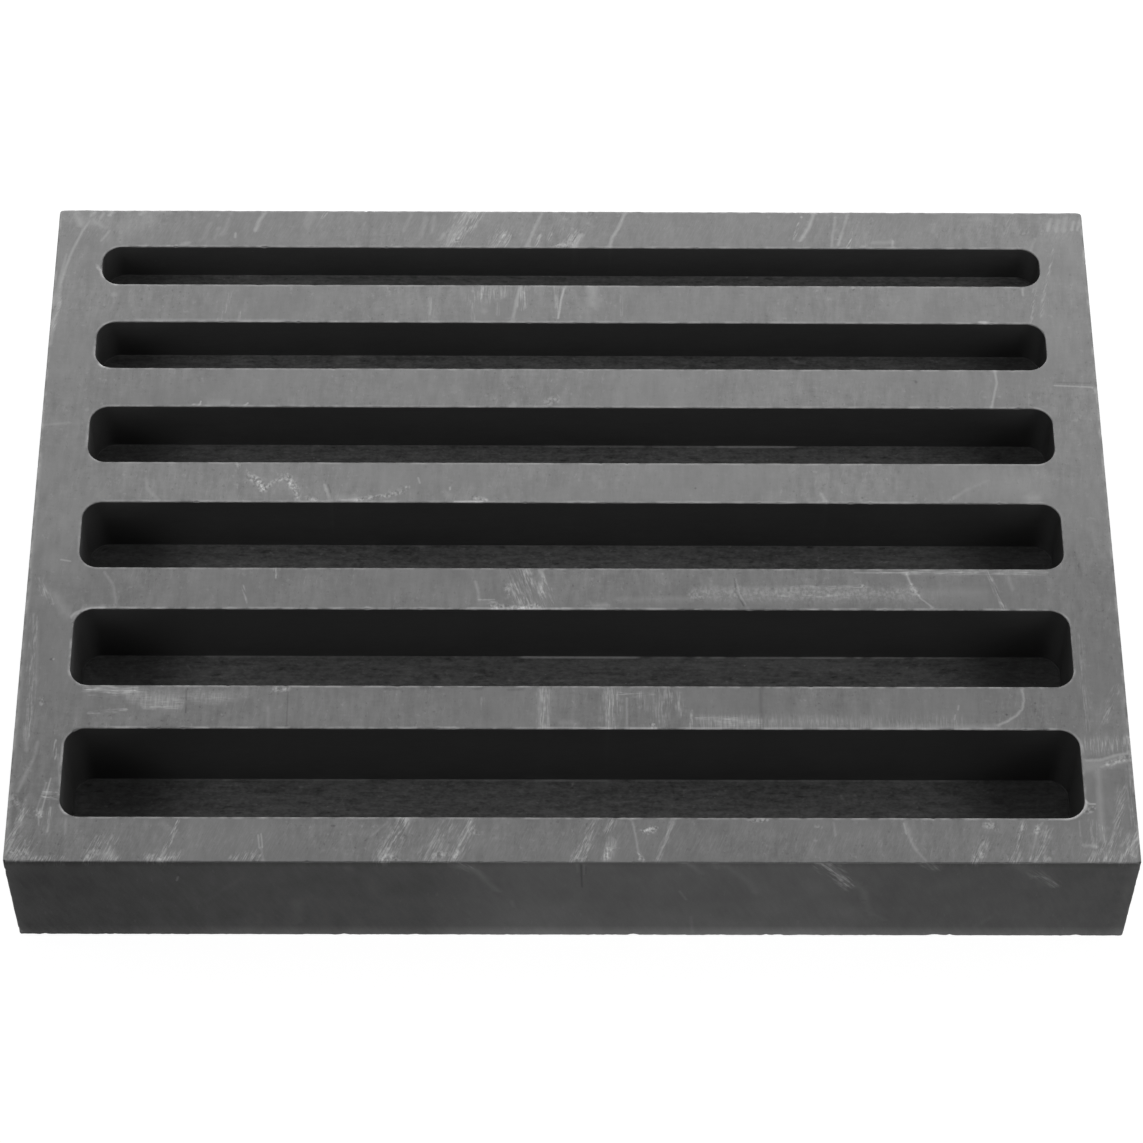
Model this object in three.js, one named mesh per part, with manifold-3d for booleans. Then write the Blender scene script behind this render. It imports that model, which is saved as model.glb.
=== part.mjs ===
// Open ingot mould: one block of fine-grained graphite with a row of bar moulds milled in its top face.
// Molten metal is poured into a bar mould level with the top face, and the cold bar is tipped out.
// Each bar has a square section, so a bar mould is as deep as it is wide, and all of them are as long.
// Units are millimetres. +Z is up, +X runs along the bars and the narrowest bar is at the back, at +Y.
// The origin is the middle of the face that the block stands on.
import * as THREE from "three";
import { mergeVertices } from "three/addons/utils/BufferGeometryUtils.js";
import Module from "manifold-3d";

const wasm = await Module();
wasm.setup();

// The bars that it casts
const BAR_COUNT = 6;
const BAR_LENGTH = 100;
const NARROWEST_BAR = 5; // side of the narrowest bar's square section
const BAR_STEP = 1; // how much each bar's side grows over the one behind it

// The graphite left standing round them
const RIB = 5; // between two neighbouring bars
const END_WALL = 5; // past each end of the bars
const BACK_WALL = 5; // behind the narrowest bar
const FRONT_WALL = 5; // in front of the widest bar
const FLOOR = 5; // under the deepest bar

// What the tools leave
const CUTTER_RADIUS = 2; // of the end mill, so of each bar mould's upright corners
const OUTER_EDGE_BREAK = 0.2; // flat rubbed on every outer edge of the block
const MOUTH_EDGE_BREAK = 0.1; // flat rubbed round the mouth of each bar mould
const CUT_OVERRUN = 1; // how far a cut reaches past the top face
const ARC_SEGMENTS = 6; // of a curve; an arc gets two steps for each

const GRAPHITE = new THREE.MeshStandardMaterial({
  name: "graphite",
  color: 0x7d7d7d,
  roughness: 0.5,
  metalness: 0.4,
  flatShading: true,
});

const barSides = Array.from({ length: BAR_COUNT }, (_, place) => NARROWEST_BAR + place * BAR_STEP);
const sumOfSides = barSides.reduce((sum, side) => sum + side, 0);
const blockLength = BAR_LENGTH + 2 * END_WALL;
const blockWidth = BACK_WALL + sumOfSides + RIB * (barSides.length - 1) + FRONT_WALL;
const blockHeight = Math.max(...barSides) + FLOOR;

// A closed three.js geometry as a solid that can be cut.
function solidFrom(geometry) {
  const bare = geometry.clone();
  bare.deleteAttribute("normal");
  bare.deleteAttribute("uv");
  const merged = mergeVertices(bare);
  return new wasm.Manifold(
    new wasm.Mesh({
      numProp: 3,
      vertProperties: merged.getAttribute("position").array,
      triVerts: new Uint32Array(merged.index.array),
    }),
  );
}

// A solid as a three.js geometry with one normal to each triangle.
function geometryFrom(solid) {
  const { vertProperties, triVerts } = solid.getMesh();
  const indexed = new THREE.BufferGeometry();
  indexed.setAttribute("position", new THREE.BufferAttribute(vertProperties, 3));
  indexed.setIndex(new THREE.BufferAttribute(triVerts, 1));
  const geometry = indexed.toNonIndexed();
  geometry.computeVertexNormals();
  return geometry;
}

// A rectangle round the origin with its corners cut off at 45 degrees.
function cutCornerRectangle(length, width, cut) {
  const x = length / 2;
  const y = width / 2;
  const shape = new THREE.Shape();
  shape.moveTo(x, cut - y);
  shape.lineTo(x, y - cut);
  shape.lineTo(x - cut, y);
  shape.lineTo(cut - x, y);
  shape.lineTo(-x, y - cut);
  shape.lineTo(-x, cut - y);
  shape.lineTo(cut - x, -y);
  shape.lineTo(x - cut, -y);
  return shape;
}

// A rectangle round the origin with round corners.
function roundCornerRectangle(length, width, radius) {
  const x = length / 2 - radius;
  const y = width / 2 - radius;
  const quarter = Math.PI / 2;
  const shape = new THREE.Shape();
  shape.absarc(x, -y, radius, -quarter, 0);
  shape.absarc(x, y, radius, 0, quarter);
  shape.absarc(-x, y, radius, quarter, 2 * quarter);
  shape.absarc(-x, -y, radius, 2 * quarter, 3 * quarter);
  return shape;
}

// The block as sawn and ground, with every outer edge broken, standing on the plane of the origin.
function plainBlock() {
  const outline = cutCornerRectangle(blockLength, blockWidth, OUTER_EDGE_BREAK);
  const geometry = new THREE.ExtrudeGeometry(outline, {
    depth: blockHeight - 2 * OUTER_EDGE_BREAK,
    bevelThickness: OUTER_EDGE_BREAK,
    bevelSize: OUTER_EDGE_BREAK,
    bevelOffset: -OUTER_EDGE_BREAK,
    bevelSegments: 1,
  });
  return solidFrom(geometry.translate(0, 0, OUTER_EDGE_BREAK));
}

// What the end mill takes out for one bar: upright walls, a flat floor and round corners.
function barCut(side) {
  const radius = Math.min(CUTTER_RADIUS, side / 2);
  const geometry = new THREE.ExtrudeGeometry(roundCornerRectangle(BAR_LENGTH, side, radius), {
    depth: side + CUT_OVERRUN,
    curveSegments: ARC_SEGMENTS,
    bevelEnabled: false,
  });
  return solidFrom(geometry.translate(0, 0, blockHeight - side));
}

// What breaking the edge of its mouth takes out: the same outline, opening upwards at 45 degrees.
function mouthCut(side) {
  const radius = Math.min(CUTTER_RADIUS, side / 2);
  const rise = MOUTH_EDGE_BREAK + CUT_OVERRUN;
  const geometry = new THREE.ExtrudeGeometry(roundCornerRectangle(BAR_LENGTH, side, radius), {
    depth: CUT_OVERRUN,
    curveSegments: ARC_SEGMENTS,
    bevelThickness: rise,
    bevelSize: rise,
    bevelSegments: 1,
  });
  return solidFrom(geometry.translate(0, 0, blockHeight - MOUTH_EDGE_BREAK + rise));
}

// The finished block: the bars are cut in turn from the back wall to the front wall.
function mouldBlock() {
  let block = plainBlock();
  let backOfBar = blockWidth / 2 - BACK_WALL;
  for (const side of barSides) {
    const middle = backOfBar - side / 2;
    block = block.subtract(barCut(side).translate([0, middle, 0]));
    block = block.subtract(mouthCut(side).translate([0, middle, 0]));
    backOfBar -= side + RIB;
  }
  const mesh = new THREE.Mesh(geometryFrom(block), GRAPHITE);
  mesh.name = "mould_block";
  return mesh;
}

const ingotMould = new THREE.Group();
ingotMould.name = "ingot_mould";
ingotMould.add(mouldBlock());

export default ingotMould;
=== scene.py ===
import math
import random

import bmesh
import bpy
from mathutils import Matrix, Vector, noise
from mathutils.geometry import delaunay_2d_cdt


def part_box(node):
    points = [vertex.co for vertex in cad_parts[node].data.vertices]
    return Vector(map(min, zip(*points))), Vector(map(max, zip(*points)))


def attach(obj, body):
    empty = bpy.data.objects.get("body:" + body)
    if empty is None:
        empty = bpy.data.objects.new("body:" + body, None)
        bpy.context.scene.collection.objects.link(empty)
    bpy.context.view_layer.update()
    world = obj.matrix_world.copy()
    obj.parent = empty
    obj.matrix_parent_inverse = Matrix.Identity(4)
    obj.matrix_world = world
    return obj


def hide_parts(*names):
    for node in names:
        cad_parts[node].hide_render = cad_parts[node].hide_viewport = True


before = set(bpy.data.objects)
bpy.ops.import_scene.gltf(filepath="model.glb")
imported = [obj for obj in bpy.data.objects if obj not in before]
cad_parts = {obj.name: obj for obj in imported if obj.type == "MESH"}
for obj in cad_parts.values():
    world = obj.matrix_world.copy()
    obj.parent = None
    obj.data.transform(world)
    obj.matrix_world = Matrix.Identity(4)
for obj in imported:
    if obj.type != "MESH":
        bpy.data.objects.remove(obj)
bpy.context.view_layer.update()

MM = 0.001  # one millimetre in Blender's metres

# The block as the solid model has it
NODE = "mould_block"
low, high = (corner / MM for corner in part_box(NODE))
LENGTH = high.x - low.x
WIDTH = high.y - low.y
HEIGHT = high.z
BAR_SIDES = (5, 6, 7, 8, 9, 10)
BAR_LENGTH = 100
RIB = 5
BACK_WALL = 5
CUTTER_RADIUS = 2

# How far the edges have crumbled back, apart from their chips
MOUTH_BREAK = 0.07
TOP_BREAK = 0.1
BOTTOM_BREAK = 0.19
CORNER_BREAK = 0.2  # at the block's eight corners
UPRIGHT_BREAK = 0.8 * CORNER_BREAK  # between an upper one and the one below it
ROUNDING = 0.36  # how far in the middle of a broken edge lies, as a share of that
MOUTH_STEEPNESS = 0.85  # how deep a mouth's break is for each millimetre of its width
MOUTH_LEAST_DEPTH = 0.02  # added to that depth
CRUMBLE = ((2.1, 0.5), (0.45, 0.35))  # waves to a millimetre, and how much each changes a break
RAGGED = (6, 0.3)  # the same for the outline of a chip
FLOOR_FILLET = 0.12

# Small chips at random places: their spacing, half widths and depths
MOUTH_CRUMBS = (7, (0.12, 0.4), (0.09, 0.2))
TOP_CRUMBS = (8, (0.12, 0.45), (0.12, 0.24))
BOTTOM_CRUMBS = (3, (0.3, 1.2), (0.19, 0.42))
UPRIGHT_CRUMBS = (4, (0.2, 0.6), (0.2, 0.4))
SEED = 11

# How finely the mesh is divided
STATION = 0.3  # between two cross-sections of an edge
LEVEL = 0.6  # between two cross-sections of an upright corner
PLATE_PITCH = 0.8  # between the points inside a flat face
PLATE_MARGIN = 0.35  # between those points and the face's edge
BOTTOM_PITCH = 4 * PLATE_PITCH
BOTTOM_MARGIN = 2
MARK_STEP = 1.6  # between the points along a mark, in its half widths
WELD = 0.00001  # points as near as this become one
SMOOTH_TURN = 24  # degrees; an edge that turns less is shaded smooth

# The faces' finishes, in the order of the mesh's material slots
TOP, SIDES, WALLS, FLOORS = range(4)

# Kinds of marks: the mesh holds how strong each kind is at each point
KINDS = (
    "rising", "falling", "upright", "level", "arc", "dots", "mottle", "soft", "scratch", "broad",
    "shade", "dark", "rim",
)

# Polish and painted highlight on the edges, and painted shade along the front one
RIM = 0.24  # band on the top face round each mouth and along the outer edges, polished and given a painted highlight
MOUTH_POLISH_AND_HIGHLIGHT = {5: 1.0, 6: 1.0, 7: 1.0, 8: 1.0, 9: 1.4, 10: 1.4}  # by the bar's side
RIGHT_END_LOSS = {5: 0.6, 6: 0.6, 7: 0.6, 8: 0.6, 9: 0.2, 10: 0.2}  # share of it lost at the right end
WALL_TOP_POLISH_AND_HIGHLIGHT = 0.6  # share of it on the wall's top row
OUTER_POLISH_AND_HIGHLIGHT = 1.0
# painted shade along the top of the front face
FRONT_EDGE_SHADE = 0.7
MARKED_EDGE = 0.3  # how far down its edges the top face's marks reach
CORNER_LINE = 0.08  # how far a polished line with painted highlight reaches past each side of a floor's fillet
CORNER_LINE_FADE = 0.6  # over which such a line starts and ends
FACING_BACK = 0.9  # least share of +Y in the outward normal of a back wall

# Painted shade inside the bar moulds: how much darker their walls and floors are made
WALL_TOP_SHADE = {5: 0.16, 6: 0.4, 7: 0.44, 8: 0.48, 9: 0.57, 10: 0.64}  # by the bar's side
TOP_OVER_POOL = {5: 0.2, 6: 0.2, 7: 0.2, 8: 0.2, 9: 0.4, 10: 0.6}  # share of it left near the ends
POOL_SHADE = {5: 0.4, 6: 0.7, 7: 0.75, 8: 0.8, 9: 0.85, 10: 0.9}  # at the foot of a wall near its ends
POOL_ON_RIGHT = 0.65  # share of that at the right end
POOL_START, POOL_FULL, POOL_LAST, POOL_END = 1.0, 2.2, 4.5, 12.0  # distances from the end
POOL_FALL = 1.5  # above 1, it gets weaker sooner past its full part
RIGHT_END_SHADE = 0.7
LEFT_END_SHADE = 0.3
FLOOR_END_SHADE = 0.5
FLOOR_SHADE_FULL, FLOOR_SHADE_END = 6.0, 14.5  # distances from the end
CORNER_SHADE = 0.75  # round the corners of the floor
CORNER_SHADE_RISE = 3  # how soon it is full where the wall turns round a corner

# How light the finishes are: a grey, its share where nothing is marked, and how much marks add to that
# The sides, walls and floors are darker than the top partly for their finish and partly as painted shade
TOP_GREY, TOP_PLAIN, TOP_MARKED = 0.19, 0.88, 2.1
SIDE_GREY, SIDE_PLAIN, SIDE_MARKED = 0.1, 0.42, 1.6
WALL_GREY, FLOOR_GREY = 0.045, 0.094
BOTTOM_LIGHTENING = ((8, 1.2, 0.28), (2.1, 0.6, 1.05))  # heights from which and at which the sides are this much lighter

# Their texture
RELIEF = 0.012  # how far it stands up on the top and the sides
MILLED_RELIEF = 0.015
NOISE_LOW, NOISE_HIGH = 0.3, 0.7  # nearly all of a noise lies between them
SEED_SHIFT = (13.7, -7.1, 3.3)  # how far a noise moves when its seed goes up by one

# The studio, with a floor as its stage
AMBIENT = 0.1
STAGE_HALF = 2500  # from the middle of that floor to its sides
STAGE_GREY = 0.9
STAGE_GLOW = 0.8  # share of its look that is plain white
STAGE_WHITE = 1.18

# Soft lamps: name, place, the place that one is aimed at, its two sides and its power in watts
LAMPS = (
    ("back_softbox", (30, 420, 190), (0, 0, 15), (420, 160), 2.09),
    ("right_softbox", (450, -60, 400), (0, 0, 15), (420, 170), 0.67),
    ("left_softbox", (-450, -60, 400), (0, 0, 15), (420, 170), 0.71),
    ("front_softbox", (160, -480, 260), (0, 0, 15), (420, 260), 0.16),
)

# The camera, fitted to the corners and the mouths of the bar moulds in the photograph
CAMERA_PLACE = (-2.88, -224.21, 347.01)
CAMERA_TURN = (33.265, -0.413, -0.115)  # degrees
CAMERA_LENS = 123.52
CAMERA_SENSOR = 36

# Polished lines with painted highlight along the back corner of the floors: the bar's side, where one starts
# and ends, and strength
CORNER_LINES = (
    (7, -3, 8, 0.5), (7, 8.5, 15, 0.4), (7, 15, 24, 1.2), (9, -38, -25, 0.25), (9, -5.6, 7.2, 1.6),
    (9, 8, 12, 0.5), (9, 12.5, 13.6, 1.3), (9, 14, 16, 0.8), (9, 17, 23, 0.7), (9, 23.2, 28.4, 1.1),
    (9, 28.9, 30, 1.5), (9, 30.6, 34.2, 0.7), (9, 35, 42, 0.5), (10, -44, -20, 0.25), (10, -16, -4, 0.3),
    (10, -4, 4, 0.6), (10, 6, 12, 0.4), (10, 13, 26, 0.35), (10, 27, 42, 0.3),
)

# Small breaks in the mouths of the bar moulds: place on the top face, half width and depth
MOUTH_CHIPS = (
    (-32.8, 35.0, 0.5, 0.2), (-33.2, 30.0, 0.5, 0.15), (-50.0, 32.1, 0.4, 0.25), (-49.2, 19.2, 0.5, 0.22),
    (-4.4, 25.0, 0.3, 0.15), (44.4, 25.0, 0.3, 0.12), (28.6, 2.0, 0.35, 0.2), (43.8, 2.0, 0.4, 0.18),
    (-20.6, -11.0, 0.35, 0.2), (17.9, -11.0, 0.5, 0.18), (-17.4, -20.0, 0.5, 0.2), (31.8, -20.0, 0.4, 0.15),
    (-38.3, -25.0, 0.3, 0.2), (-49.0, -25.2, 0.4, 0.2), (49.9, -33.6, 0.6, 0.2), (17.2, -35.0, 0.4, 0.18),
    (22.5, -35.0, 0.4, 0.15),
)

# Marks on the top face, by kind: half width, strength, then x and y of each place that one passes
TOP_MARKS = {
    "broad": (
        (26, 0.13, -55, 22, 55, 22), (8, 0.23, -55, 4, 55, 4), (5, 0.02, -55, -39, 55, -39),
        (8, 0.24, -54, 30, -54, 2), (8, 0.27, 54, 34, 54, 2),
    ),
    "soft": (
        (2.4, 0.15, 42, 4.5, 48, 4.5),
        (0.24, 0.7, -51.7, 38.5, -52.4, 37.1, -53.3, 34.5, -53.9, 32, -54.3, 29.5),
        (0.2, 0.4, -53.9, 34, -54.4, 30.8, -54.7, 27), (0.3, 0.45, -54.2, 29.5, -54.5, 26, -54.8, 22),
        (0.55, 0.8, -53.1, 39.5, -52.7, 38), (1.4, 0.28, -53.4, 39, -50, 38.4),
        (0.35, 0.9, -51.6, 39.3, -51.3, 39.6), (0.3, 0.7, -50.6, 38.9, -50.3, 39.5),
        (0.35, 0.9, -49.6, 39.3, -49.3, 39.6), (0.5, 0.6, -51.3, 38.6, -50.3, 37.7),
        (0.2, 0.5, -50.3, 35.8, -49.5, 37.2), (1.6, 0.3, -47.6, 38, -45.4, 38.8),
        (0.35, 0.9, -46.3, 39.4, -46, 39.6), (0.5, 0.3, -44.3, 39.6, -43, 39.6),
        (0.35, 0.6, -41.6, 35.4, -40.9, 35.6), (0.4, 0.25, -39.4, 36.2, -38.8, 38.2),
        (0.35, 0.25, -38.2, 36.2, -37.8, 37.6), (0.4, 0.3, -37.4, 36.6, -36.8, 38.8), (0.4, 0.4, -38, 39.3),
        (0.4, 0.4, -36.6, 39.5), (0.35, 0.8, -33.9, 37.2, -33.5, 38.6, -32.9, 39.8),
        (0.6, 0.3, -28.4, 38, -27.9, 39.6), (0.3, 0.3, -18, 37.2, -17.2, 39.5),
        (0.4, 0.3, -16.2, 36.2, -15.6, 39), (0.4, 0.3, -15, 37, -14.7, 39.2),
        (0.35, 0.5, -13.9, 36.2, -13.7, 36.9), (0.7, 0.3, -12.2, 37, -11.6, 39),
        (0.35, 0.4, -13.2, 35.4, -12.8, 37), (0.5, 0.5, -11.3, 39.7, -10.6, 39.2),
        (0.35, 0.6, -7.7, 35.9, -7.3, 36.9), (0.3, 0.6, -4.7, 35.3, -4, 37.5, -3.1, 39.8),
        (0.4, 0.9, 0.4, 35.3, 0.7, 36, 1.1, 36.8), (0.28, 0.85, 4.1, 35.2, 4.4, 36.4, 5.1, 37.8, 5.8, 39.8),
        (0.4, 0.3, 21.3, 39.3), (0.32, 0.85, 24.6, 36.1, 25.6, 38, 26.2, 39.9),
        (0.25, 0.5, 27.9, 35.3, 28.1, 37, 28.5, 39.3), (0.25, 0.6, 28.6, 35.5, 29.2, 37.5, 29.8, 39.8),
        (0.35, 0.35, 32.3, 35.8, 34.5, 35.9), (0.8, 0.2, 39, 37.3, 39, 38.3), (0.8, 0.2, 43.6, 39, 45, 39),
        (0.25, 0.35, 49.2, 34.9, 49.8, 36.5), (0.25, 0.6, 51.2, 37.5, 51.7, 39.2),
        (0.3, 0.5, 52.1, 37.4, 52.5, 39), (0.35, 0.5, 52.9, 37.4, 53.3, 39.3),
        (0.25, 0.7, 53.8, 37.6, 54.1, 38.8), (0.22, 0.7, 54.4, 37.6, 54.7, 38.8),
        (1.2, 0.2, 51.6, 38.7, 54, 39), (0.5, 0.5, -48.5, 28.5), (0.3, 0.3, -46, 25.2, -30, 25.2),
        (0.6, 0.35, -9.2, 26.5), (0.28, 0.7, -6.2, 25.4, -5.8, 28, -5.4, 29.8),
        (0.8, 0.5, 2.2, 29.8, 2.3, 27.5), (0.9, 0.12, 36.4, 26, 37.8, 30), (0.5, 0.5, -6, 14.5),
        (1, 0.15, -32.8, 4.9, -31.6, 3.8, -29.4, 4.8, -28.3, 3.2),
        (0.25, 0.7, -25.4, 4.2, -25, 3, -24.7, 2.1), (0.6, 0.32, -23.8, 2.7, -22, 2.4),
        (0.7, 0.4, -12.7, 2.9), (0.3, 0.3, -43.8, 5, -43.5, 3.6, -43, 3, -42.3, 2.3),
        (0.6, 0.15, 2.4, 5.4, 3, 4), (0.3, 0.7, 25.6, 3.2, 26, 2.2),
        (0.3, 0.3, 39.2, 2.7, 40.5, 3.7, 42.8, 4.9), (0.7, 0.45, 46.9, 2.8, 47.8, 2.8),
        (0.25, 0.35, -47.3, -6.6, -46.3, -8.2, -45.8, -10.7),
        (0.25, 0.5, -9.8, -7.6, -9.5, -8.8, -9.4, -9.8), (0.6, 0.25, -9.2, -10.3, -8, -10.3),
        (0.35, 0.6, -4.7, -6.4, -4.1, -6.7), (0.3, 0.8, -3.2, -6.3, -2.9, -7),
        (0.22, 0.6, -3.3, -8.1, -3, -8.9), (0.4, 0.5, 2.2, -10.5, 3.5, -10.4),
        (0.55, 0.25, 4.5, -9.8, 12, -9.7), (1, 0.28, 12.6, -9, 41.5, -8.9), (0.35, 0.2, 34, -6.5, 48, -6.5),
        (0.5, 0.2, 13.8, -7, 14, -8), (0.3, 0.3, 33.7, -6.3, 34.3, -8, 34.5, -9),
        (0.35, 0.35, 44.2, -7, 44.5, -8.5), (0.4, 0.45, -48, -20.5, -44, -20.5),
        (1.1, 0.25, -43.2, -21.1, -42.2, -21.8, -39.2, -21.8), (0.7, 0.2, -37.6, -21.4, -32, -21.2),
        (0.3, 0.25, -30.1, -22.6, -30.1, -24.8), (0.18, 0.35, -3.2, -20.5, -3.3, -24.6),
        (0.18, 0.35, -2.3, -20.5, -2.4, -24.2), (0.9, 0.2, -2.8, -20.6, -2.8, -24.6),
        (0.35, 0.7, -3.1, -24.5, -2.7, -24.6), (0.5, 0.3, -1, -24.2, 0.6, -24.4),
        (0.18, 0.6, 3.7, -20.4, 3.7, -25), (0.18, 0.35, 3.3, -20.4, 3.4, -25),
        (0.2, 0.6, 5.4, -21.4, 5.4, -24.6), (1.1, 0.2, 12.8, -24.3, 30, -24.3),
        (0.4, 0.4, 30, -24.6, 42, -24.6),
        (0.22, 0.9, 44.7, -20.4, 44.8, -21.5, 44.6, -22.5, 44, -23.3, 43, -24, 41.8, -24.6),
        (0.2, 0.35, -49.2, -35.2, -49.2, -37), (0.7, 0.4, -45.2, -39.3, -44.6, -39.2),
        (0.2, 0.7, -39.8, -39.9, -39.3, -38.6), (0.5, 0.25, -39.8, -35.8, -39.2, -36.3),
        (0.6, 0.15, -41.4, -36), (0.2, 0.4, -30.1, -38.4, -29.9, -39.9),
        (0.2, 0.3, -19.6, -37.2, -18, -35.6), (0.6, 0.3, -18.4, -39, -17, -39),
        (0.18, 0.4, -14.3, -39.8, -13, -36.4), (0.18, 0.45, -13.5, -39.8, -12.7, -37.9),
        (0.18, 0.5, -12.7, -39.8, -12, -38),
        (0.2, 0.45, -11.6, -39.8, -11, -38.2, -10.3, -36.7, -9.8, -35.5), (0.8, 0.15, -9.7, -38),
        (0.9, 0.12, 0.5, -39.2, 1.6, -37.4), (0.8, 0.25, 3.3, -39.4, 3.8, -37.8),
        (0.2, 0.6, 5.8, -35.4, 6.1, -37, 6.3, -38.5, 6.6, -39.7), (0.35, 0.6, 9.8, -35.5, 9.4, -36.2),
        (0.2, 0.65, 9.4, -36.2, 9, -37.6, 8.1, -39.8), (0.35, 0.5, 23.5, -37.5),
        (0.2, 0.35, 25.4, -35.6, 25.5, -37), (0.4, 0.42, 32.4, -35.6, 32.6, -36.6),
        (0.28, 0.55, 32.5, -36.4, 32.9, -37.8, 33.3, -38.6), (0.22, 0.35, 33.3, -38.6, 34.1, -39.7),
        (0.7, 0.3, 40.5, -35.9), (0.2, 0.45, 44.2, -39.8, 45, -37, 45.2, -36.2, 45.7, -35.5),
        (0.3, 0.6, 49.5, -38, 50.8, -38.2), (0.35, 0.5, 51.4, -38.7), (0.16, 0.4, 49.3, -35.3, 49.3, -37),
        (0.9, 0.25, 50.6, -39.2, 52, -39), (0.14, 0.7, 54, -37.4, 53.4, -39.4),
        (0.14, 0.7, 54.4, -37.7, 54, -39.6), (0.13, 0.6, 54.75, -37.9, 54.5, -39.6),
        (0.8, 0.25, 54.2, -37, 54.2, -39.2), (0.25, 0.3, -54.8, 11.6, -52, 11.9),
        (0.25, 0.25, -54.7, 8, -54.7, -38), (1.8, 0.2, -52.6, -5.6, -50, -7),
        (0.6, 0.15, -54, -6.4, -52.6, -9.4), (0.75, 0.35, -52, -9.6, -50.8, -11.6),
        (0.25, 0.2, -53.6, -12.5, -53.2, -20), (0.2, 0.9, -51.7, -17),
        (0.35, 0.4, -53.9, -25, -53.6, -27.6),
        (0.3, 0.45, -52.6, -26.6, -52.8, -28.2, -53.4, -30, -54.1, -32.2),
        (0.16, 0.4, -50.5, -28, -50.15, -31.4), (0.15, 0.4, -51.4, -31.2, -52.2, -34.5),
        (0.35, 0.35, -53.3, -33, -53.3, -34.3), (0.25, 0.35, -53.4, -34.4, -54.6, -38.4),
        (0.3, 0.3, 54.6, -20, 54.6, -27), (1.2, 0.15, 50.6, -26.8, 54.9, -26.6),
        (0.25, 0.9, 50.5, -28.5, 51.9, -28.4, 53.4, -27.9, 54.9, -27.6),
        (0.25, 0.9, 51.9, -29.2, 54, -28.6, 54.9, -28.4), (0.8, 0.45, 50.6, -29.2, 52, -28.9, 54, -28.3),
        (0.5, 0.45, 51.6, -29, 51.4, -37.3),
    ),
    "scratch": (
        (0.12, 0.8, -43.4, 35.15, -41.2, 35.2), (0.22, 0.5, -36, 36.3, -36, 36.9), (0.25, 0.8, 24.8, 39.3),
        (0.2, 0.45, 34.4, 35.2, 34.5, 36.1), (0.25, 0.8, -50.5, 32.2, -50, 32),
        (0.2, 0.9, -50, 31.6, -49.6, 30.9, -49, 30.4, -48.3, 30), (0.25, 0.9, 29.9, 29.8),
        (0.2, 0.7, 30.8, 29.6), (0.2, 0.5, 48, 28.8, 48, 29.7), (0.25, 0.8, 43.2, 25.2, 43.9, 25.2),
        (0.18, 0.8, -1.4, 25.6, -1.1, 28, -0.7, 29.9), (0.2, 0.6, -49.4, 19.4, -48.7, 19),
        (0.12, 0.5, -40, 14.2, -33.5, 14.2), (0.13, 0.9, -38.7, 14.2, -38.6, 14.7),
        (0.13, 0.9, -33.9, 14.2, -33.7, 14.5), (0.12, 0.8, -39.4, 14.3, -39.1, 14.3),
        (0.2, 0.5, 43.8, 14.2, 44.2, 16, 44.5, 17.3, 44.4, 18.9), (0.22, 0.9, -34.6, 6.8),
        (0.15, 0.6, -23.6, 2.3, -21.8, 2.2), (0.15, 0.5, -15.8, 5.1, -15.6, 4.4),
        (0.15, 0.7, -12.5, 3.6, -12.5, 3.9), (0.16, 1.5, -12, 2.15, -9.2, 2.15),
        (0.14, 1, -9.2, 2.2, -7.9, 2.15), (0.15, 0.9, -10.5, -10.88, -5, -10.88),
        (0.15, 0.6, -5, -10.88, -1, -10.88), (0.13, 0.4, -1, -10.88, 5, -10.88),
        (0.1, 0.4, 28.6, -6.5, 34, -6.5), (0.13, 0.3, 16.6, -7.3, 16.9, -9, 17.6, -10.6),
        (0.15, 0.5, 33.8, -6.4, 34.4, -8.2, 35.2, -9.6, 36.4, -10.7),
        (0.15, 0.7, -3.3, -24.85, 0.5, -24.85), (0.15, 0.5, 0.5, -24.85, 8.2, -24.85),
        (0.16, 0.4, 38.3, -22.2, 38.2, -22.7), (0.16, 0.4, 37.9, -23.3, 37.8, -23.8),
        (0.15, 0.5, -54.8, -39.4, -54.2, -37.6), (0.12, 0.45, -30.5, -37, -30.3, -38.5),
        (0.12, 0.5, -30.2, -36.9, -30, -38.4), (0.15, 0.5, -16.3, -36, -16.1, -35.3),
        (0.2, 0.7, 7, -36.55, 7.4, -36.3, 7.9, -36.3), (0.12, 0.4, 32.2, -35.6, 32.4, -36.8),
        (0.15, 0.5, -51.8, -5.1, -50.8, -5.3),
        (0.2, 0.6, -50.3, -12, -49.9, -11.5, -49.2, -11.15, -48.4, -10.9, -47, -10.85),
        (0.13, 0.6, -51, -30.7, -51.4, -33, -51.7, -34.8),
        (0.13, 0.3, -49.9, -33.4, -49.7, -34.3, -49, -34.9), (0.14, 0.6, 50.5, 17, 54.5, 16.8, 54.8, 16),
        (0.14, 0.9, 46.5, -35.15, 48.2, -35.05, 49, -34.8),
        (0.16, 1.2, 49, -34.8, 49.5, -34.4, 49.95, -33.8, 50.1, -33), (0.14, 0.9, 50.4, -33.4, 51, -33.4),
    ),
    "rising": (
        (2.6, 0.09, -54, -37.6, 54, -37.6), (2.4, 0.08, -54, 37.6, 54, 37.6),
        (0.3, 0.5, -54.1, 28, -54.6, 24), (0.3, 0.6, -26.8, 39, -26.2, 39.8),
        (1.5, 0.4, -12.7, 35.6, -11.2, 39.9), (0.9, 0.7, -11, 37.6, -10.1, 40),
        (1, 0.55, -8, 35.3, -7.3, 36.9), (0.25, 0.7, -7, 35.3, -6.5, 36.7),
        (0.3, 0.8, -3.7, 35.3, -3.3, 36.7), (0.3, 0.8, -2.4, 36, -2, 37.2), (0.9, 0.6, -0.3, 35.3, 0.5, 37),
        (0.25, 0.5, 2, 39, 2.4, 39.9), (0.3, 0.7, 23.8, 36.2, 24.5, 38.5),
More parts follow.
